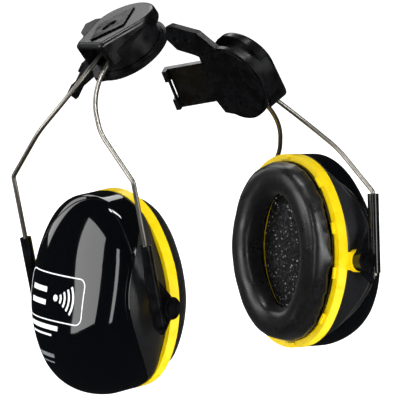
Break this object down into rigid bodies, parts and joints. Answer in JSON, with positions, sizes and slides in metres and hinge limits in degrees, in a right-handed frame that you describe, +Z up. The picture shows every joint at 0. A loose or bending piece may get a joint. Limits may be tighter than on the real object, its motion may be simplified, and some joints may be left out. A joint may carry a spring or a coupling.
{
  "type": "helmet-mounted ear muff pair",
  "caption": "Pair of helmet-mounted ear muffs: oval cups with soft cushions on wire forks, adjustable sleeves, flipping and turning round heads, and slot blades for a safety helmet.",
  "frame": {"origin": "middle of the helmet seat, halfway between the two flip axles", "axes": "+X forwards for the wearer, +Y to the wearer's left, +Z up"},
  "size_m": [0.1091, 0.202, 0.1976],
  "materials": {
    "black_satin": "satin",
    "black_grain": "fine grain",
    "black_gloss": "gloss",
    "yellow": "satin gloss",
    "cushion_skin": "soft satin vinyl",
    "foam": "open-cell foam",
    "wire": "bright drawn",
    "spring_steel": "plain"
  },
  "bodies": {
    "brackets": {"left_bracket": "black_satin", "left_snap_ring": "spring_steel", "right_bracket": "black_satin", "right_snap_ring": "spring_steel"},
    "left_head": {"left_drum": "black_grain", "left_cap": "black_satin", "left_badge": "black_satin", "left_flip_spring": "spring_steel"},
    "left_fork": {"left_wire_fork": "wire", "left_fork_block": "black_satin"},
    "left_yoke": {"left_sleeve_front": "black_satin", "left_pin_front": "black_satin", "left_sleeve_rear": "black_satin", "left_pin_rear": "black_satin"},
    "left_cup": {"left_cup_shell": "black_gloss", "left_ring": "yellow", "left_cushion_plate": "black_satin", "left_ear_cushion": "cushion_skin", "left_foam_pad": "foam"},
    "right_head": {"right_drum": "black_grain", "right_cap": "black_satin", "right_badge": "black_satin", "right_flip_spring": "spring_steel"},
    "right_fork": {"right_wire_fork": "wire", "right_fork_block": "black_satin"},
    "right_yoke": {"right_sleeve_front": "black_satin", "right_pin_front": "black_satin", "right_sleeve_rear": "black_satin", "right_pin_rear": "black_satin"},
    "right_cup": {"right_cup_shell": "black_gloss", "right_ring": "yellow", "right_cushion_plate": "black_satin", "right_ear_cushion": "cushion_skin", "right_foam_pad": "foam"}
  },
  "joints": [
    {"name": "left_head_turn", "type": "hinge", "parent": "brackets", "child": "left_head", "pos_m": [-0.00073, 0.03584, -0.01135], "axis": [-0.0306, 0.8859, 0.4628], "range_deg": [-100, 25]},
    {"name": "left_fork_flip", "type": "hinge", "parent": "left_head", "child": "left_fork", "pos_m": [0, 0.0501, -0.01375], "axis": [0.9919, -0.0303, 0.1236], "range_deg": [-30.2, 1]},
    {"name": "left_height_slide", "type": "slide", "parent": "left_fork", "child": "left_yoke", "axis": [0.121, -0.077, -0.9897], "range_m": [0, 0.0319]},
    {"name": "left_cup_tilt", "type": "hinge", "parent": "left_yoke", "child": "left_cup", "pos_m": [0.01269, 0.07778, -0.10883], "axis": [0.9919, -0.0303, 0.1236], "range_deg": [-12.3, 11.7]},
    {"name": "right_head_turn", "type": "hinge", "parent": "brackets", "child": "right_head", "pos_m": [-0.00019, -0.03606, 0.01021], "axis": [-0.0329, -0.6224, 0.782], "range_deg": [0, 125]},
    {"name": "right_fork_flip", "type": "hinge", "parent": "right_head", "child": "right_fork", "pos_m": [0, -0.0501, 0.01375], "axis": [-0.9973, -0.0305, -0.0663], "range_deg": [-1, 30.2]},
    {"name": "right_height_slide", "type": "slide", "parent": "right_fork", "child": "right_yoke", "axis": [0.0595, 0.1859, -0.9808], "range_m": [-0.0319, 0]},
    {"name": "right_cup_tilt", "type": "hinge", "parent": "right_yoke", "child": "right_cup", "pos_m": [0.00894, -0.06117, -0.11566], "axis": [-0.9973, -0.0305, -0.0663], "range_deg": [-19.1, 4.9]}
  ]
}
